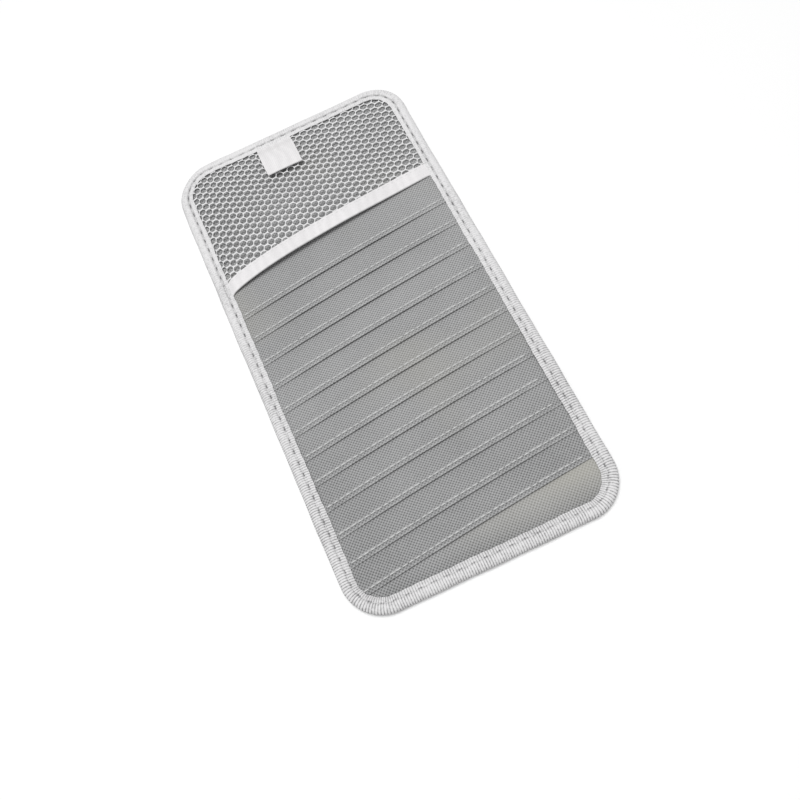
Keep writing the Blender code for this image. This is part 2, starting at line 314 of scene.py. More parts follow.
def flat_cloth(name, z, dip, rows, columns, finish):
    """Rounded rectangle of cloth: rows from top to bottom, each as wide as the outline."""
    reach = (HALF_LENGTH - PANEL_INSET) * 0.999
    y = reach * np.cos(np.linspace(0, math.pi, rows))[:, None]
    x = half_width(y, PANEL_INSET) * np.linspace(-1, 1, columns)[None, :]
    y = np.broadcast_to(y, x.shape)
    middle = np.stack([x, y, z + ripple(x, y, dip, z / MM)], -1)
    return thick_cloth(name, middle, PANEL_CLOTH, finish, np.stack([x, y], -1))


canvas_back = canvas("canvas_back", plain_marks)
back_z = (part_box("back_panel")[0].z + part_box("back_panel")[1].z) / 2
back_cloth = flat_cloth("back_cloth", back_z, 0.1 * MM, 60, 40, canvas_back)
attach(back_cloth, "root")
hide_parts("back_panel")

# ---------------------------------------------------------------------------------------
# Stiffening board. A sheet of grey board between the back cloth and the base cloth, cut
# 5 mm smaller all round so that the needle misses it. It shows nowhere.
# ---------------------------------------------------------------------------------------
BOARD_LIGHT = (0.42, 0.40, 0.36, 1)
BOARD_DARK = (0.26, 0.24, 0.21, 1)

board_finish, board_wire, board_shader = begin_finish("grey_board", 0.85)
pulp = board_wire.noise(350.0, 4.0, 0.7)
end_finish(board_wire, board_shader, pulp.mixed(BOARD_LIGHT, BOARD_DARK), pulp, 0.05 * MM)
board_mesh = frame["nodes"]["stiffener_board"].data
board_mesh.materials.clear()
board_mesh.materials.append(board_finish)

# ---------------------------------------------------------------------------------------
# Base cloth. The same canvas over the front of the board, gripped by the tape all round.
# Only the wedge below the last sleeve shows, a little warmer towards the lower right.
# ---------------------------------------------------------------------------------------


def base_shade_and_tint(wire, u, v):
    """Painted shade, darker towards the bottom tape; the cloth warmer towards the lower right."""
    # Painted shade along the bottom tape; the warm tint towards the lower right is the cloth's own.
    dip = ((v + 126.0) * -0.045).clamped() ** 1.5
    right = ((u + 30.0) * 0.012).clamped() * ((v + 148.0) * 0.06).clamped()
    return dip * 0.45 - 0.12, u * 0.0, right * (wire.noise(25.0, 1.0) * 0.6 + 0.2)


canvas_base = canvas("canvas_base", base_shade_and_tint)
base_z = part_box("base_liner")[0].z
base_cloth = flat_cloth("base_cloth", base_z, 0.12 * MM, 90, 60, canvas_base)
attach(base_cloth, "root")
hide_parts("base_liner")

# ---------------------------------------------------------------------------------------
# Twelve disc sleeves. Each is one sheet of canvas, its sides sewn in under the edge tape
# and its free edge folded under into a hem. They overlap like slates, so that each climbs
# over the hidden ends of those below, and the middle of each free edge can lift.
# ---------------------------------------------------------------------------------------
SLEEVES = 12
SLEEVE_CLOTH = 0.22 * MM
LAYER_PITCH = 0.35 * MM
DEEP_PITCH = 15 * MM
TOP_SLEEVE_INSET = 4.6 * MM
TOP_SLEEVE_LAYERS = 3.8
LIP_HALF = 70 * MM
BOW_HALF = 69 * MM
EDGE_BOW = 0.9 * MM
SWELL = 0.20 * MM
CROWN = 0.80 * MM
UNEVENNESS = 0.10 * MM
HEM_WIDTH = 4.6 * MM
HEM_RISE = 0.46 * MM
STITCH_DIP = 0.24 * MM
FOLD_RADIUS = 0.3 * MM
FOLD_BACK = 3.2 * MM
STITCH_FROM_EDGE = 2.7 * MM
HEM_STITCH_PITCH = 3.9 * MM
SLEEVE_COLUMNS = 110


def hem_light_and_tint(wire, u, v):
    """Painted highlight along the fold and the stitch line; painted shade beside the line and
    under the fold.

    The lower sleeves and the left side are also a little darker, with painted shade.
    """
    # Painted highlight on the rounded fold and just above the stitch line.
    fold = v.near(0.5, 1.6)
    ridge_highlight = v.near(3.2, 1.5)
    # Painted shade beside the stitch line and under the fold.
    stitch_bed_shade = v.near(2.1, 1.6)
    warm = ((wire.noise(12.0, 1.0) - 0.55) * 4.0).clamped() * 0.35
    under = (v * -4.0 + 0.4).clamped()
    uneven = (wire.noise(160.0, 1.0) * 2.6 - 0.8).clamped()
    # Painted shade, darker towards the bottom and towards the left.
    x, y = wire.place_mm(0), wire.place_mm(1)
    falloff_shade = ((y + 30.0) * -0.0013).clamped() + (x * -0.0011).clamped()
    return stitch_bed_shade * 0.2 + under * 0.6 + falloff_shade, (fold * 0.4 + ridge_highlight * 0.55) * uneven, warm


canvas_front = canvas("canvas_front", hem_light_and_tint, 0.116)


def joint_named(name):
    """The joint of that name, as the frame holds it."""
    return next(joint for joint in frame["joints"] if joint["name"] == name)


class Sleeve:
    """Where one sleeve lies, read from its hinge and from the boxes of its two solids."""

    def __init__(self, number):
        joint = joint_named(f"sleeve_{number:02d}_lift")
        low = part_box(f"sleeve_{number:02d}_lip")[0]
        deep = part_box(f"sleeve_{number:02d}_body")[1]
        self.number = number
        self.slope = joint["axis"][1] / joint["axis"][0]
        self.edge = low.y - self.slope * low.x
        self.hinge = joint["pos_m"][1] - self.edge
        self.lip_z = joint["pos_m"][2]
        self.floor_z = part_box("sleeve_12_body")[0].z
        self.depth = deep.y - self.slope * deep.x - self.edge
        if number == 1:
            self.depth = HALF_LENGTH - TOP_SLEEVE_INSET - self.edge

    def drift(self, e, x):
        """How far the slant carries a point up; the top sleeve's rows turn level higher up."""
        level = smooth((e - 30 * MM) / (60 * MM)) if self.number == 1 else 0
        return self.slope * x * (1 - level)

    def row_ends(self, e):
        """X at which rows e above the free edge meet the outline, by repeated averaging."""
        ends = []
        for side in (-1, 1):
            x = np.full(e.shape, 0.0)
            for _ in range(50):
                y = self.edge + e + self.drift(e, x)
                x = (x + side * half_width(y, PANEL_INSET)) / 2
            ends.append(x)
        return ends

    def height(self, e, x):
        """Height of the cloth's middle, e above the free edge.

        Hidden, it drops one layer for each sleeve that ends under it. In front it swells a
        little, rises over the doubled hem, dips along the stitches and crowns in the middle.
        """
        fewest = TOP_SLEEVE_LAYERS if self.number == 1 else 0
        layers = np.clip((self.depth - e) / DEEP_PITCH, fewest, SLEEVES - self.number)
        hidden = self.floor_z + LAYER_PITCH * layers
        front = smooth((self.hinge - e) / (3 * MM))
        ground = hidden + (self.lip_z - hidden) * front
        pressed = 1 - 0.55 * smooth((np.abs(x) - 42 * MM) / (29 * MM))
        swell = SWELL * np.sin(np.pi * np.clip(e / self.hinge, 0, 1))
        hem = HEM_RISE * smooth((HEM_WIDTH - e) / (1.5 * MM))
        dip = STITCH_DIP * np.exp(-((e - STITCH_FROM_EDGE) / (0.42 * MM)) ** 2)
        pucker = 0.5 + 0.5 * np.cos(TURN * x / HEM_STITCH_PITCH)
        middle = np.clip(1 - (x / LIP_HALF) ** 2, 0, 1)
        crown = CROWN * middle * np.clip(1 - e / self.hinge, 0, 1) ** 1.5
        wave = ripple(x, 0 * x, UNEVENNESS, 1.3 * self.number) * (1 - e / self.hinge)
        lift = swell + hem - dip * (0.75 + 0.25 * pucker) + crown + wave
        return ground + SLEEVE_CLOTH / 2 + lift * pressed * front

    def point(self, e, x):
        """Point of the cloth's middle, with the free edge bowed up towards the pocket."""
        bow = EDGE_BOW * np.clip(1 - (x / BOW_HALF) ** 2, 0, 1)
        near_edge = smooth((self.hinge - e) / self.hinge)
        y = self.edge + e + self.drift(e, x) + bow * near_edge
        return np.stack([x, y, self.height(e, x)], -1)

    def share(self, e, x):
        """How much a point follows the lip: none when hidden or sewn in at the sides."""
        along = smooth((self.hinge - e) / (6 * MM))
        return along * np.clip(1 - (np.abs(x) / LIP_HALF) ** 3, 0, 1)


def set_shares(piece, share):
    """Gives each point of a blended piece its own share of the second body, from 0 to 1."""
    weights = piece.data.attributes["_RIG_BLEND"].data
    weights.foreach_set("value", share.astype(np.float32).ravel())


def bend_with_lip(piece, sleeve, share):
    """The piece follows the sleeve's lip by the given share, point by point."""
    lip = f"sleeve_{sleeve.number:02d}_lip"
    start = (0, sleeve.edge + sleeve.hinge, sleeve.lip_z)
    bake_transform(piece, "root", lip, start=start, end=(0, sleeve.edge, sleeve.lip_z))
    set_shares(piece, share)


def sleeve_cloth(sleeve):
    """The whole sheet: down the hidden body and the strip in front, round the fold, back."""
    hidden = np.linspace(sleeve.depth, sleeve.hinge + 1 * MM, 12)
    strip = np.linspace(sleeve.hinge, HEM_WIDTH + 0.5 * MM, 12)
    hem = np.linspace(HEM_WIDTH, FOLD_RADIUS, 17)
    e = np.concatenate([hidden, strip, hem])
    turn = np.linspace(0, math.pi, 8)[1:-1]
    back = np.linspace(FOLD_RADIUS, FOLD_BACK, 5)
    path_e = np.concatenate([e, FOLD_RADIUS - FOLD_RADIUS * np.sin(turn), back])
    drop = np.concatenate([0 * e, FOLD_RADIUS * (1 - np.cos(turn)), 0 * back + 2 * FOLD_RADIUS])
    left, right = sleeve.row_ends(path_e)
    across = np.linspace(0, 1, SLEEVE_COLUMNS)[None, :]
    x = left[:, None] + (right - left)[:, None] * across
    rows_e = np.broadcast_to(path_e[:, None], x.shape)
    middle = sleeve.point(rows_e, x)
    folded = len(e)
    middle[folded:, :, 2] = sleeve.point(np.full(x.shape, FOLD_RADIUS), x)[folded:, :, 2]
    middle[..., 2] -= drop[:, None]
    steps = np.hypot(np.diff(path_e), np.diff(drop))
    run = np.concatenate([[0], np.cumsum(steps)])
    pattern = np.stack([x, np.broadcast_to(sleeve.depth - run[:, None], x.shape)], -1)
    name = f"sleeve_{sleeve.number:02d}_cloth"
    piece = thick_cloth(name, middle, SLEEVE_CLOTH, canvas_front, pattern)
    share = sleeve.share(rows_e, x)
    bend_with_lip(piece, sleeve, np.concatenate([share, share[::-1]]))
    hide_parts(f"sleeve_{sleeve.number:02d}_body", f"sleeve_{sleeve.number:02d}_lip")


sleeves = [Sleeve(number) for number in range(1, SLEEVES + 1)]
for sleeve in sleeves:
    sleeve_cloth(sleeve)

# ---------------------------------------------------------------------------------------
# Hem stitches. A lockstitch in grey thread through each hem, 2.7 mm from the free edge.
# Each stitch is a short length of thread that dives into the cloth at both ends.
# ---------------------------------------------------------------------------------------
THREAD_RADIUS = 0.34 * MM
STITCH_SHARE = 0.84
STITCH_RINGS = 5
STITCH_SIDES = 6
STITCH_CAPS = ((0, 1, 2, 5), (5, 2, 3, 4))
STITCH_TWIST = 4 * MM
HEM_STITCH_HALF = 67.5 * MM
HEM_STITCH_DIVE = 0.3 * MM
UP = np.array([0.0, 0.0, 1.0])
GREY_THREAD_LIGHT = (0.76, 0.765, 0.76, 1)
GREY_THREAD_DARK = (0.56, 0.565, 0.56, 1)


def thread_finish(name, light, dark):
    """Twisted thread: slanting strands, with painted shade between them."""
    made, wire, shader = begin_finish(name, 0.75, 0.1)
    u, v = wire.pattern_mm()
    # The twist sets the bump and paints shade between the strands.
    twist_and_shade = (u * 3.0 + v).wave(1.0)
    end_finish(wire, shader, twist_and_shade.mixed(dark, light), twist_and_shade, 0.05 * MM)
    return made


def stitch_row(name, starts, ends, dive, radius, finish):
    """Row of stitches: tubes from start to end points, arched down by a dive at both ends.

    A ring's centre is start + t (end - start) - dive (2t - 1)^4 up, and its radius swells
    by the root of a parabola, so that both ends close on a small six-sided cap.
    """
    t = np.linspace(0, 1, STITCH_RINGS)
    sides = np.arange(STITCH_SIDES) * TURN / STITCH_SIDES
    run = ends - starts
    along = run / np.linalg.norm(run, axis=1, keepdims=True)
    across = np.cross(along, UP)
    centre = starts[:, None] + run[:, None] * t[None, :, None]
    centre = centre - (dive * (2 * t - 1) ** 4)[None, :, None] * UP
    size = radius * np.sqrt(np.clip(1 - (2 * t - 1) ** 2 * 0.96, 0, 1))
    ring = (across[:, None, None] * np.cos(sides)[None, None, :, None]
            + UP * np.sin(sides)[None, None, :, None])
    points = centre[:, :, None] + ring * size[None, :, None, None]
    count = len(starts)
    index = np.arange(count * STITCH_RINGS * STITCH_SIDES)
    index = index.reshape(count, STITCH_RINGS, STITCH_SIDES)
    loop = np.concatenate([index, index[:, :, :1]], 2)
    caps = [index[:, end][:, list(cap)] for end in (0, -1) for cap in STITCH_CAPS]
    quads = np.concatenate([grid_quads(loop).reshape(-1, 4), *caps])
    pattern = np.stack([np.broadcast_to(t[None, :, None] * STITCH_TWIST, index.shape),
                        np.broadcast_to(sides * MM / TURN, index.shape)], -1)
    return put_mesh(name, points, quads, finish, pattern.reshape(-1, 2)[quads]), centre


grey_thread = thread_finish("grey_thread", GREY_THREAD_LIGHT, GREY_THREAD_DARK)


def hem_stitches(sleeve):
    """The stitches along one hem, on the cloth's front, which bend as the hem does."""
    x = np.arange(-HEM_STITCH_HALF, HEM_STITCH_HALF - HEM_STITCH_PITCH, HEM_STITCH_PITCH)
    e = np.full(x.shape, STITCH_FROM_EDGE)
    raised = UP * (SLEEVE_CLOTH / 2 + THREAD_RADIUS * 0.7)
    starts = sleeve.point(e, x) + raised
    ends = sleeve.point(e, x + HEM_STITCH_PITCH * STITCH_SHARE) + raised
    name = f"sleeve_{sleeve.number:02d}_hem_stitches"
    stitches, centre = stitch_row(name, starts, ends, HEM_STITCH_DIVE, THREAD_RADIUS, grey_thread)
    share = sleeve.share(np.full(centre.shape[:2], STITCH_FROM_EDGE), centre[..., 0])
    bend_with_lip(stitches, sleeve, np.repeat(share[..., None], STITCH_SIDES, 2))
    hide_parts(f"sleeve_{sleeve.number:02d}_hem_thread")


for sleeve in sleeves:
    hem_stitches(sleeve)

# ---------------------------------------------------------------------------------------
# Pocket net. Knitted white netting with six-sided holes, cut on a slant, sewn in under
# the tape on three sides. Its mouth stands open, highest left of centre. There the soft
# net lies about a millimetre lower than its plain solid.
# ---------------------------------------------------------------------------------------
POCKET_HINGE = joint_named("pocket_open")["pos_m"]
POCKET_HALF = 68.8 * MM
POCKET_RISE = 3.6 * MM
POCKET_SKEW = 0.607
MOUTH_DEPTH = 90.1 * MM
MOUTH_SLOPE = 0.1385
MOUTH_BOW = 2.6 * MM
SEWN_HALF = 71 * MM
SEWN_Z = 5.75 * MM
SAG = 0.18 * MM
TRIM_WIDTH = 9 * MM
NET_PITCH_X = 7.9 * MM
NET_PITCH_Y = 4.7 * MM
NET_TURN = math.radians(6.5)
NET_STRETCH = 0.55
NET_TAPER = 1.0
NET_CENTRE_Y = 110 * MM
NET_INSET = 5.5 * MM
NET_IN_TRIM = 4 * MM
RING_POINTS = 12
HOLE_RADIUS = 1.98 * MM
STRAND_HEIGHT = 0.22 * MM
RING_LIFTS = (1.0, 0.8, 0.0, -0.8, -1.0)
WELD_DISTANCE = 0.004 * MM
NET_WHITE = (0.93, 0.925, 0.93, 1)
NET_GREY = (0.38, 0.38, 0.385, 1)


def arch(x):
    """Share of the pocket's rise across its mouth: a sine with its peak left of centre."""
    t = np.clip((x + POCKET_HALF) / (2 * POCKET_HALF), 0, 1)
    return np.sin(np.pi * t ** POCKET_SKEW)


def mouth_y(x, above):
    """Y of the line a given distance above the pocket's lower edge: sloped and bowed."""
    return HALF_LENGTH - (MOUTH_DEPTH - MOUTH_SLOPE * x - MOUTH_BOW * arch(x) - above)


def pocket_z(x, y):
    """Height of the net's middle: sewn down at the tape, arched more towards the mouth."""
    down = np.clip((POCKET_HINGE[1] - y) / (POCKET_HINGE[1] - mouth_y(x, 0)), 0, 1)
    free = smooth((SEWN_HALF - np.abs(x)) / (5 * MM))
    free = free * smooth((POCKET_HINGE[1] + 2 * MM - y) / (5 * MM))
    flat = SEWN_Z + (POCKET_HINGE[2] + 0.3 * MM - SEWN_Z) * free
    sag = ripple(x, y, SAG, 4.0) * free
    return flat + sag + POCKET_RISE * arch(x) * np.sin(np.pi / 2 * down)


def pocket_share(x, y):
    """How much a point follows the lifted pocket: none at the sewn sides and top."""
    across = np.clip(1 - (np.abs(x) / SEWN_HALF) ** 4, 0, 1)
    return across * smooth((POCKET_HINGE[1] - y) / (4 * MM))


def bend_with_pocket(piece, share):
    """The piece follows the pocket's mouth by the given share, point by point."""
    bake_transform(piece, "root", "pocket", start=POCKET_HINGE, end=(0, mouth_y(0, 0), POCKET_HINGE[2]))
    set_shares(piece, share)


def net_place(a, b):
    """Where the point (a, b) of the flat net lies: turned, and stretched to the right.

    The stretch adds its share of a squared to a, and b shrinks by the taper's share of a.
    """
    wide = a + NET_STRETCH * a * a
    high = b * (1 - NET_TAPER * a)
    x = wide * math.cos(NET_TURN) - high * math.sin(NET_TURN)
    y = wide * math.sin(NET_TURN) + high * math.cos(NET_TURN)
    return x, y + NET_CENTRE_Y


def net_cells():
    """Centres of the holes, in staggered columns, where they fall inside the pocket."""
    i, j = np.meshgrid(np.arange(-24, 25), np.arange(-14, 15))
    a = i * NET_PITCH_X / 2
    b = (j + 0.5 * (i % 2)) * NET_PITCH_Y
    x, y = net_place(a, b)
    inside = np.abs(x) < half_width(y, NET_INSET)
    inside &= (y < HALF_LENGTH - NET_INSET) & (y > mouth_y(x, TRIM_WIDTH - NET_IN_TRIM))
    return a[inside], b[inside]


def net_rings(a, b):
    """Rings round every hole: crest, shoulder, rim, then shoulder and crest behind.

    The crest follows the cell's six-sided outline and the rim is a soft circle; a strand
    is half one cell and half the next. Crests on the net's outer border close at its middle.
    """
    order = np.arange(RING_POINTS)
    angles = order * TURN / RING_POINTS
    at_corner = (order % 2 == 0)[:, None]
    corner_x = np.where(order % 6 == 0, NET_PITCH_X / 3, NET_PITCH_X / 6) * np.sign(np.cos(angles))
    corner_y = NET_PITCH_Y / 2 * np.sign(np.sin(angles).round(9))
    corners = np.stack([corner_x, corner_y], -1) * at_corner
    crest = np.where(at_corner, corners, (np.roll(corners, 1, 0) + np.roll(corners, -1, 0)) / 2)
    rim = HOLE_RADIUS * np.stack([1.12 * np.cos(angles), np.sin(angles)], -1)
    rim = rim * 0.6 + crest * 0.4 * HOLE_RADIUS / (NET_PITCH_Y / 2)
    shoulder = crest * 0.42 + rim * 0.58
    flat = np.stack([crest, shoulder, rim, shoulder, crest])
    lift = np.array(RING_LIFTS) * STRAND_HEIGHT
    ring_a = a[:, None, None] + flat[None, ..., 0]
    ring_b = b[:, None, None] + flat[None, ..., 1]
    lift = np.broadcast_to(lift[None, :, None], ring_a.shape).copy()
    keys = np.round(np.stack([ring_a[:, 0], ring_b[:, 0]], -1) / (0.01 * MM)).astype(int)
    _, back, count = np.unique(keys.reshape(-1, 2), axis=0, return_inverse=True,
                               return_counts=True)
    shared = count[back.ravel()].reshape(keys.shape[:2])
    border = shared < np.where(at_corner[:, 0], 3, 2)[None, :]
    for ring in (0, 4):
        lift[:, ring][border] = 0.0
    return ring_a, ring_b, lift


def net_finish():
    """White knitted yarn: fine loops across the strands, a little grey between them."""
    made, wire, shader = begin_finish("white_net", 0.65, 0.2)
    yarn = wire.noise(1600.0, 2.0, 0.6)
    cloud = wire.noise(60.0, 1.0)
    shade = (yarn * 0.9 + cloud * 0.3 - 0.25).clamped()
    colour = shade.mixed(NET_WHITE, NET_GREY)
    end_finish(wire, shader, colour, yarn, 0.2 * MM)
    return made


cell_a, cell_b = net_cells()
ring_a, ring_b, ring_lift = net_rings(cell_a, cell_b)
net_x, net_y = net_place(ring_a, ring_b)
net_points = np.stack([net_x, net_y, pocket_z(net_x, net_y) + ring_lift], -1)
net_index = np.arange(net_x.size).reshape(net_x.shape)
net_loop = np.concatenate([net_index, net_index[:, :, :1]], 2)
net_quads = np.stack([net_loop[:, :-1, :-1], net_loop[:, :-1, 1:], net_loop[:, 1:, 1:],
                      net_loop[:, 1:, :-1]], -1).reshape(-1, 4)
net_pattern = np.stack([net_x, net_y], -1).reshape(-1, 2)[net_quads]
net = put_mesh("pocket_netting", net_points, net_quads, net_finish(), net_pattern)
joined = bmesh.new()
joined.from_mesh(net.data)
bmesh.ops.remove_doubles(joined, verts=joined.verts, dist=WELD_DISTANCE)
bmesh.ops.recalc_face_normals(joined, faces=joined.faces)
joined.to_mesh(net.data)
joined.free()
welded = np.empty(len(net.data.vertices) * 3)
net.data.vertices.foreach_get("co", welded)
bend_with_pocket(net, pocket_share(welded[0::3], welded[1::3]))
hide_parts("pocket_net")

# ---------------------------------------------------------------------------------------
# Pocket trim. A white ribbon folded in half over the net's mouth, 9 mm wide when folded,
# with its two ends caught under the edge tape.
# ---------------------------------------------------------------------------------------
RIBBON_PLY = 0.34 * MM
TRIM_FOLD = 0.36 * MM
TRIM_COLUMNS = 150
TRIM_END_X = 72 * MM
TRIM_PILLOW = 0.18 * MM
TRIM_SEAM_DIP = 0.16 * MM
TRIM_STITCH_DOWN = 1.3 * MM
TRIM_STITCH_PITCH = 3.2 * MM
WHITE_THREAD_LIGHT = (0.80, 0.80, 0.80, 1)
WHITE_THREAD_DARK = (0.55, 0.55, 0.55, 1)
RIBBON_WHITE = (0.82, 0.805, 0.812, 1)
RIBBON_GREY = (0.46, 0.455, 0.46, 1)


def ribbon_finish(name, rib_pitch_mm):
    """Plain ribbon: fine ribs across it, a fine weave, faint streaks and a soft sheen."""
    made, wire, shader = begin_finish(name, 0.6, 0.25)
    u, v = wire.pattern_mm()
    rib = u.wave(rib_pitch_mm)
    weave = v.wave(0.5)
    grain = wire.noise(1100.0, 3.0, 0.6)
    cloud = wire.noise(45.0, 1.0)
    streak = (u + wire.noise(70.0, 1.0) * 9.0).wave(TURN)
    shade = (rib * 0.15 + grain * 0.5 + cloud * 0.25 + streak * 0.12 - 0.28).clamped()
    colour = shade.mixed(RIBBON_WHITE, RIBBON_GREY)
    end_finish(wire, shader, colour, rib * 0.5 + weave * 0.25 + grain * 0.4, 0.06 * MM)
    return made


white_ribbon = ribbon_finish("white_ribbon", 0.7)
trim_front = np.linspace(TRIM_WIDTH, TRIM_FOLD, 16)
trim_turn = np.linspace(0, math.pi, 8)[1:-1]
trim_rear = np.linspace(TRIM_FOLD, TRIM_WIDTH - 0.4 * MM, 10)
trim_path = np.concatenate([trim_front, TRIM_FOLD - TRIM_FOLD * np.sin(trim_turn), trim_rear])
trim_drop = np.concatenate([0 * trim_front, TRIM_FOLD * (1 - np.cos(trim_turn)),
                            0 * trim_rear + 2 * TRIM_FOLD])
trim_x = np.linspace(-TRIM_END_X, TRIM_END_X, TRIM_COLUMNS)
trim_x = np.broadcast_to(trim_x, (len(trim_path), TRIM_COLUMNS))
trim_above = np.broadcast_to(trim_path[:, None], trim_x.shape)
trim_y = mouth_y(trim_x, trim_above)
squeeze = 1 - 0.5 * smooth((np.abs(trim_x) - 66 * MM) / (5 * MM))
pillow = TRIM_PILLOW * np.sin(np.pi * np.clip(trim_above / TRIM_WIDTH, 0, 1))
seam_offset = TRIM_WIDTH - trim_above - TRIM_STITCH_DOWN
seam_dip = TRIM_SEAM_DIP * np.exp(-(seam_offset / (0.5 * MM)) ** 2)
trim_top = pocket_z(trim_x, trim_y) + (0.55 * MM + pillow - seam_dip) * squeeze
trim_z = trim_top - trim_drop[:, None] * squeeze * 1.6
trim_middle = np.stack([trim_x, trim_y, trim_z], -1)
trim_run = np.concatenate([[0], np.cumsum(np.hypot(np.diff(trim_path), np.diff(trim_drop)))])
trim_pattern = np.stack([trim_x, np.broadcast_to(trim_run[:, None], trim_x.shape)], -1)
trim = thick_cloth("pocket_mouth_ribbon", trim_middle, RIBBON_PLY, white_ribbon, trim_pattern)
trim_share = pocket_share(trim_x, trim_y)
bend_with_pocket(trim, np.concatenate([trim_share, trim_share[::-1]]))
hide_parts("pocket_trim")

white_thread = thread_finish("white_thread", WHITE_THREAD_LIGHT, WHITE_THREAD_DARK)
stitch_x = np.arange(-67 * MM, 66 * MM, TRIM_STITCH_PITCH)


def trim_stitch_point(x):
    """Point on the ribbon's front, along its upper stitch line."""
    y = mouth_y(x, TRIM_WIDTH - TRIM_STITCH_DOWN)
    return np.stack([x, y, pocket_z(x, y) + 0.68 * MM], -1)


trim_stitches, ring_centres = stitch_row(
    "pocket_mouth_stitches", trim_stitch_point(stitch_x),
    trim_stitch_point(stitch_x + TRIM_STITCH_PITCH * STITCH_SHARE), 0.3 * MM, 0.15 * MM,
    white_thread)
ring_share = pocket_share(ring_centres[..., 0], ring_centres[..., 1])
bend_with_pocket(trim_stitches, np.repeat(ring_share[..., None], STITCH_SIDES, 2))
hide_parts("pocket_trim_thread")

# ---------------------------------------------------------------------------------------
# Edge tape. Pale ribbed tape, 27 mm wide, folded round the edge over every layer and sewn
# through with one line of long stitches. The line sinks between two soft rolls, and the
# tape thins towards the bottom end, where fewer layers lie in it.
# ---------------------------------------------------------------------------------------
RIB_ABOUT = 1.41 * MM
STITCH_ABOUT = 7.25 * MM
SAMPLES_PER_RIB = 4
TAPE_ROWS = 15
RIB_HEIGHT = 0.2 * MM
TAPE_WIDTH = 8.7 * MM
TAPE_SIDE = 3.4 * MM
TAPE_STITCH_INSET = 5.6 * MM
TAPE_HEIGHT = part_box("edge_binding")[1].z + 0.4 * MM
TAPE_PLY = 0.55 * MM
ROLL_HEIGHT = 0.30 * MM
ROLL_DROP = 1.15 * MM
INNER_LOW = 3.95 * MM
TAPE_BACK = ((3.4, 0.06), (4.6, 0.06), (5.6, 0.2), (6.6, 0.06), (8.7, 0.06))
HIDDEN_PLACE = -19 * MM
TAPE_PALE = (0.735, 0.73, 0.735, 1)
TAPE_DARK = (0.17, 0.168, 0.172, 1)
PATH_RADIUS = CORNER_RADIUS - PANEL_INSET
QUARTER = PATH_RADIUS * math.pi / 2
EDGE_KNOTS = np.cumsum([0, 2 * CORE_X, QUARTER, 2 * CORE_Y, QUARTER, 2 * CORE_X, QUARTER,
                        2 * CORE_Y, QUARTER])
EDGE_LENGTH = EDGE_KNOTS[-1]
RIBS = round(EDGE_LENGTH / RIB_ABOUT)
RIB_PITCH = EDGE_LENGTH / RIBS
TAPE_STITCHES = round(EDGE_LENGTH / STITCH_ABOUT)
TAPE_STITCH_PITCH = EDGE_LENGTH / TAPE_STITCHES


def edge_station(s):
    """Core point and outward direction, s round the edge from the bottom left corner.

    The core is the rectangle of the corners' centres: it moves along a side while the
    direction holds, and stands still round a corner while the direction turns a quarter.
    """
    s = s % EDGE_LENGTH
    x = np.interp(s, EDGE_KNOTS, np.array([-1, 1, 1, 1, 1, -1, -1, -1, -1]) * CORE_X)
    y = np.interp(s, EDGE_KNOTS, np.array([-1, -1, -1, 1, 1, 1, 1, -1, -1]) * CORE_Y)
    angle = np.interp(s, EDGE_KNOTS, np.array([-1, -1, 0, 0, 1, 1, 2, 2, 3]) * math.pi / 2)
    return x, y, np.cos(angle), np.sin(angle)


def edge_waves(s, size, turns, phase):
    """Unevenness along the tape that closes on itself: sines with whole turns."""
    wave = 0 * s
    for i, count in enumerate(turns):
        wave = wave + np.sin(TURN * count * s / EDGE_LENGTH + phase + 1.9 * i)
    return wave * size / len(turns)


def tape_heights(y):
    """Height of the tape's roll and of its inner edge: lower towards the bottom end."""
    rise = smooth((y + 150 * MM) / (95 * MM))
    roll = TAPE_HEIGHT - ROLL_DROP * (1 - rise)
    inner = INNER_LOW + (TAPE_HEIGHT - 0.35 * MM - INNER_LOW) * rise
    return roll, inner


def tape_front(inset, s):
    """Height of the tape's front face at an inset, s round the edge.

    An outer and an inner roll, each half a sine, with a stitched valley between them that
    puckers at every needle hole and widens into a crease left of the pocket.
    """
    _, core_y, out_x, out_y = edge_station(s)
    y = core_y + out_y * 15 * MM
    roll, inner = tape_heights(y)
    fall = smooth((inset - 4.5 * MM) / (TAPE_WIDTH - 4.5 * MM))
    ground = roll + (inner - roll) * fall
    outer_roll = ROLL_HEIGHT * np.sin(np.pi * np.clip(inset / TAPE_STITCH_INSET, 0, 1))
    inner_part = (inset - TAPE_STITCH_INSET) / (TAPE_WIDTH - TAPE_STITCH_INSET)
    inner_roll = ROLL_HEIGHT * np.sin(np.pi * np.clip(inner_part, 0, 1))
    hole = 0.5 + 0.5 * np.cos(TURN * s / TAPE_STITCH_PITCH)
    beside = smooth((y - 45 * MM) / (20 * MM)) * smooth((146 * MM - y) / (10 * MM))
    beside = beside * smooth(-out_x)
    depth = (0.50 + 0.25 * hole ** 4 + 0.25 * beside) * MM
    valley = depth * np.exp(-((inset - TAPE_STITCH_INSET) / ((0.60 + 0.2 * beside) * MM)) ** 2)
    return ground + outer_roll + inner_roll - valley - 0.25 * MM


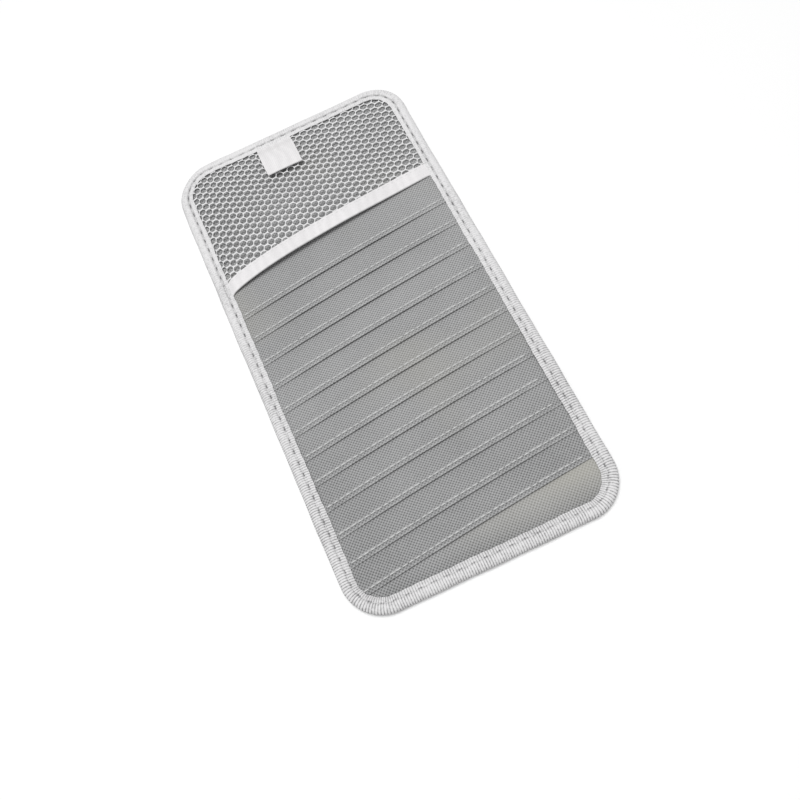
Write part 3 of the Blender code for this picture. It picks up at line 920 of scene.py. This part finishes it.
def tape_finish():
    """Ribbed tape: light ribs, a little soiling, and painted shade in the grooves between ribs,
    in the needle holes, along the stitched valley and down the outer side.

    The painted shade in the grooves is strongest along the bottom and the lower sides.
    """
    made, wire, shader = begin_finish("pale_tape", 0.78, 0.1)
    u, v = wire.pattern_mm()
    y = wire.place_mm(1)
    rib = u.wave(RIB_PITCH / MM)
    grain = wire.noise(750.0, 3.0, 0.7)
    cloud = wire.noise(30.0, 2.0)
    # Painted shade in the grooves between ribs: uneven, and stronger along the bottom.
    groove_unevenness = (wire.noise(260.0, 1.0) * 2.4 - 0.35).clamped() * 0.6 + 0.5
    groove_shade = (1.0 - rib) ** 3.2 * groove_unevenness * ((y * -0.007 + 0.4).clamped() * 0.75 + 0.25)
    beat = ((u * (TURN / (TAPE_STITCH_PITCH / MM))).math("COSINE") - 0.2).clamped() * 1.6
    top = ((y - 138.0) * 0.12).clamped() * 0.6
    # Painted shade in the needle holes, weaker at the top end.
    hole = v.near(TAPE_STITCH_INSET / MM, 2.2) * beat * ((y * 0.004 + 1.0).clamped() - top)
    # Painted shade along the stitched valley.
    line = v.near(TAPE_STITCH_INSET / MM, 1.0) * ((y * 0.01).clamped() * 1.2 + 1.0)
    # Painted shade down the tape's outer side.
    side = ((1.2 - v) * 0.4).clamped() * ((v + 4.0) * 0.5).clamped()
    shade = groove_shade * 0.68 + (grain - 0.5) * 1.3 + (cloud - 0.5) * 0.5 + hole * 0.8
    shade = (shade * 1.1 + line * 0.25 + side * 0.25).clamped()
    colour = shade.mixed(TAPE_PALE, TAPE_DARK)
    end_finish(wire, shader, colour, rib * 0.6 + grain * 0.5, 0.15 * MM)
    return made


def tape_section(s):
    """Lines that run round the closed tape, s round the edge, in order across its section.

    Each is its inset, its height, the shares of a rib it takes outward and upward, and its
    place in the pattern. The inner edge scallops between stitches, and both edges wander.
    """
    level = 0 * s
    scallop = 0.10 * MM * np.cos(TURN * s / TAPE_STITCH_PITCH)
    inner_wave = scallop + edge_waves(s, 0.28 * MM, (9, 17, 31), 0.4)
    outer_wave = edge_waves(s, 0.22 * MM, (7, 13, 29), 2.2)
    parts = []
    for inset in np.linspace(TAPE_WIDTH, TAPE_SIDE, TAPE_ROWS):
        at = inset + inner_wave * smooth((inset - 6 * MM) / (2.5 * MM)) + level
        parts.append((at, tape_front(at, s), 0, 1, inset))
    top = tape_front(TAPE_SIDE + level, s)
    for angle in np.linspace(math.pi / 2, -math.pi / 2, 13)[1:-1]:
        at = TAPE_SIDE - (TAPE_SIDE - outer_wave) * math.cos(angle)
        height = top / 2 + (top / 2 - 0.06 * MM) * math.sin(angle)
        place = TAPE_SIDE - (math.pi / 2 - angle) * TAPE_SIDE
        parts.append((at, height, math.cos(angle), math.sin(angle), place))
    for inset, dent in TAPE_BACK:
        parts.append((inset * MM + level, dent * MM + level, 0, -0.5, -10 * MM - inset * MM))
    parts.append((TAPE_WIDTH + level, 0.5 * MM + level, 0, 0, HIDDEN_PLACE))
    parts.append((TAPE_SIDE + level, 0.75 * MM + level, 0, 0, HIDDEN_PLACE))
    parts.append((0.75 * MM + level, top / 2, 0, 0, HIDDEN_PLACE))
    parts.append((TAPE_SIDE + level, top - TAPE_PLY, 0, 0, HIDDEN_PLACE))
    for inset in (4.8 * MM, TAPE_STITCH_INSET, 6.4 * MM, TAPE_WIDTH - 0.05 * MM):
        at = inset + inner_wave * (inset > 6.5 * MM)
        parts.append((at, tape_front(at, s) - TAPE_PLY, 0, 0, HIDDEN_PLACE))
    return parts


stations = RIBS * SAMPLES_PER_RIB
tape_run = np.arange(stations + 1) * EDGE_LENGTH / stations
tape_s = tape_run[None, :-1]
core_x, core_y, out_x, out_y = edge_station(tape_s)
rib_wave = np.cos(TURN * tape_s / RIB_PITCH) * RIB_HEIGHT / 2
section = tape_section(tape_s)
insets = np.concatenate([part[0] - rib_wave * part[2] for part in section])
heights = np.concatenate([part[1] + rib_wave * part[3] for part in section])
tape_x = core_x + out_x * (CORNER_RADIUS - insets)
tape_y = core_y + out_y * (CORNER_RADIUS - insets)
tape_points = np.stack([tape_x, tape_y, heights], -1)
tape_index = np.arange(tape_x.size).reshape(tape_x.shape)
tape_quads = grid_quads(np.pad(tape_index, ((0, 1), (0, 1)), "wrap")).reshape(-1, 4)
places = np.stack(np.meshgrid(tape_run, [part[4] for part in section + section[:1]]), -1)
place_index = np.arange(places.size // 2).reshape(places.shape[:2])
tape_pattern = places.reshape(-1, 2)[grid_quads(place_index)]
tape = put_mesh("edge_tape", tape_points, tape_quads, tape_finish(), tape_pattern)
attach(tape, "root")
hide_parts("edge_binding")


def tape_point(s, lift):
    """Point in the stitched valley, s round the edge, a given distance above it."""
    x, y, nx, ny = edge_station(s)
    reach = CORNER_RADIUS - TAPE_STITCH_INSET
    z = tape_front(TAPE_STITCH_INSET + 0 * s, s) + lift
    return np.stack([x + nx * reach, y + ny * reach, z], -1)


stitch_from = (np.arange(TAPE_STITCHES) + 0.14) * TAPE_STITCH_PITCH
stitch_to = stitch_from + TAPE_STITCH_PITCH * 0.72
tape_stitches, _ = stitch_row("edge_tape_stitches", tape_point(stitch_from, 0.12 * MM),
                              tape_point(stitch_to, 0.12 * MM), 0.35 * MM, 0.24 * MM, white_thread)
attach(tape_stitches, "root")
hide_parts("binding_thread")

# ---------------------------------------------------------------------------------------
# Pull tab. A length of white ribbon folded double and caught under the top tape. It stands
# a little off the net, so its folded end throws a shadow.
# ---------------------------------------------------------------------------------------
TAB_LOW, TAB_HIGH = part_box("pull_tab")
TAB_JOINT = joint_named("tab_flip")["pos_m"]
TAB_PLY = 0.45 * MM
TAB_FOLD = 0.45 * MM
TAB_TILT = math.radians(4.5)
TAB_SEWN_Z = 6.3 * MM
TAB_WAIST = 0.25 * MM
TAB_CURL = 0.25 * MM
TAB_BELLY = 0.25 * MM
TAB_COLUMNS = 40

tab_length = (TAB_JOINT[1] - TAB_LOW.y) / math.cos(TAB_TILT)
tab_front = np.linspace(-2.2 * MM, tab_length - TAB_FOLD, 30)
tab_turn = np.linspace(0, math.pi, 10)[1:-1]
tab_rear = np.linspace(tab_length - TAB_FOLD, -2.0 * MM, 24)
tab_round = tab_length - TAB_FOLD + TAB_FOLD * np.sin(tab_turn)
tab_path = np.concatenate([tab_front, tab_round, tab_rear])
tab_drop = np.concatenate([0 * tab_front, TAB_FOLD * (1 - np.cos(tab_turn)),
                           0 * tab_rear + 2 * TAB_FOLD])
tab_across = np.linspace(-1, 1, TAB_COLUMNS)[None, :]
tab_x = (TAB_LOW.x + TAB_HIGH.x) / 2 + tab_across * (TAB_HIGH.x - TAB_LOW.x) / 2
tab_along = tab_path[:, None] + 0 * tab_x
tab_x = tab_x + TAB_WAIST * np.sin(tab_along * 130) * tab_across
tab_free = smooth((tab_along + 0.3 * MM) / (8 * MM))
tab_curl = TAB_CURL * tab_across ** 2 * smooth(tab_along / (10 * MM))
tab_belly = TAB_BELLY * np.sin(np.pi * np.clip(tab_along / tab_length, 0, 1))
tab_line = TAB_JOINT[2] + 0.1 * MM + 2 * TAB_FOLD + tab_along * math.sin(TAB_TILT)
tab_z = TAB_SEWN_Z + (tab_line - TAB_SEWN_Z) * tab_free + tab_belly - tab_curl
tab_z = tab_z - tab_drop[:, None] * (0.35 + 0.65 * tab_free)
tab_y = TAB_JOINT[1] - tab_along * math.cos(TAB_TILT)
tab_run = np.concatenate([[0], np.cumsum(np.hypot(np.diff(tab_path), np.diff(tab_drop)))])
tab_pattern = np.stack([tab_x, tab_run[:, None] + 0 * tab_x], -1)
tab = thick_cloth("pull_tab_ribbon", np.stack([tab_x, tab_y, tab_z], -1), TAB_PLY,
                  ribbon_finish("tab_ribbon", 1.1), tab_pattern)
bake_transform(tab, "pocket", "pull_tab", start=TAB_JOINT,
         end=(TAB_JOINT[0], TAB_JOINT[1] - 4 * MM, TAB_JOINT[2]))
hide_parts("pull_tab")

# ---------------------------------------------------------------------------------------
# Two back straps. Black ribbed elastic, 25 mm wide, sewn in under the tape at both sides.
# They bow away from the back when a visor goes between.
# ---------------------------------------------------------------------------------------
STRAP_HALF = 72 * MM
STRAP_THICKNESS = 0.6 * MM
STRAP_END_RISE = 0.25 * MM
ELASTIC_BLACK = (0.010, 0.010, 0.011, 1)
ELASTIC_GREY = (0.085, 0.085, 0.088, 1)


def elastic_finish():
    """Ribbed elastic: fine cords along it, crossed by the rubber's crimp."""
    made, wire, shader = begin_finish("black_elastic", 0.8, 0.1)
    u, v = wire.pattern_mm()
    cord = v.wave(1.2)
    crimp = u.wave(0.9)
    shade = (cord * 0.6 + crimp * 0.4).clamped()
    colour = shade.mixed(ELASTIC_BLACK, ELASTIC_GREY)
    end_finish(wire, shader, colour, cord * 0.7 + crimp * 0.3, 0.15 * MM)
    return made


elastic = elastic_finish()
for end in ("top", "bottom"):
    node = f"back_strap_{end}"
    low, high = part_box(node)
    strap_y, strap_x = np.meshgrid(np.linspace(high.y, low.y, 24),
                                   np.linspace(-STRAP_HALF, STRAP_HALF, 90), indexing="ij")
    end_rise = STRAP_END_RISE * smooth((np.abs(strap_x) - 64 * MM) / (6 * MM))
    strap_middle = np.stack([strap_x, strap_y, (low.z + high.z) / 2 + end_rise], -1)
    strap = thick_cloth(f"{node}_elastic", strap_middle, STRAP_THICKNESS, elastic,
                        np.stack([strap_x, strap_y], -1))
    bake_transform(strap, "root", node, start=(0, high.y, high.z), end=(0, low.y, low.z))
    strap_share = np.clip(1 - (np.abs(strap_x) / STRAP_HALF) ** 2.4, 0, 1)
    set_shares(strap, np.concatenate([strap_share, strap_share[::-1]]))
    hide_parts(node)

# ---------------------------------------------------------------------------------------
# Floor, light and camera. A plain pale floor, one wide soft lamp overhead and an even sky.
# ---------------------------------------------------------------------------------------
FLOOR_SIZE = 4.0
FLOOR_WHITE = (0.9, 0.9, 0.9, 1)
SKY_WHITE = (1, 1, 1, 1)
SKY_STRENGTH = 0.46
LAMP_SIZE = 1.0
LAMP_WATTS = 29.8
LAMP_PLACE = (-0.16, 0.02, 2.0)
LAMP_TILTS = (-0.6, -4.5, 0)
CAMERA_PLACE = (-0.03021, -0.24975, 0.45732)
CAMERA_TILTS = (22.0907, 9.0694, -23.483)
CAMERA_LENS = 40.59
CAMERA_SHIFT = (0.0311, 0.0132)

corners = np.array([[-1, 1, 0], [-1, -1, 0], [1, -1, 0], [1, 1, 0]]) * FLOOR_SIZE / 2
floor_finish, _, floor_shader = begin_finish("pale_floor", 0.9)
floor_shader.inputs["Base Color"].default_value = FLOOR_WHITE
floor = put_mesh("floor", corners, np.array([[0, 1, 2, 3]]), floor_finish, corners[None, :, :2])

world = bpy.data.worlds.new("even_sky")
bpy.context.scene.world = world
world.use_nodes = True
sky = world.node_tree.nodes["Background"]
sky.inputs["Color"].default_value = SKY_WHITE
sky.inputs["Strength"].default_value = SKY_STRENGTH

lamp_data = bpy.data.lights.new("soft_lamp", "AREA")
lamp_data.shape = "RECTANGLE"
lamp_data.size = LAMP_SIZE
lamp_data.size_y = LAMP_SIZE
lamp_data.energy = LAMP_WATTS
lamp = bpy.data.objects.new("soft_lamp", lamp_data)
lamp.location = LAMP_PLACE
lamp.rotation_euler = np.radians(LAMP_TILTS)
bpy.context.scene.collection.objects.link(lamp)

camera_data = bpy.data.cameras.new("camera")
camera_data.sensor_width = 36.0
camera_data.lens = CAMERA_LENS
camera_data.shift_x, camera_data.shift_y = CAMERA_SHIFT
camera_data.clip_start = 0.01
camera = bpy.data.objects.new("camera", camera_data)
camera.location = CAMERA_PLACE
camera.rotation_euler = np.radians(CAMERA_TILTS)
bpy.context.scene.collection.objects.link(camera)
bpy.context.scene.camera = camera
bpy.context.scene.view_settings.view_transform = "Standard"
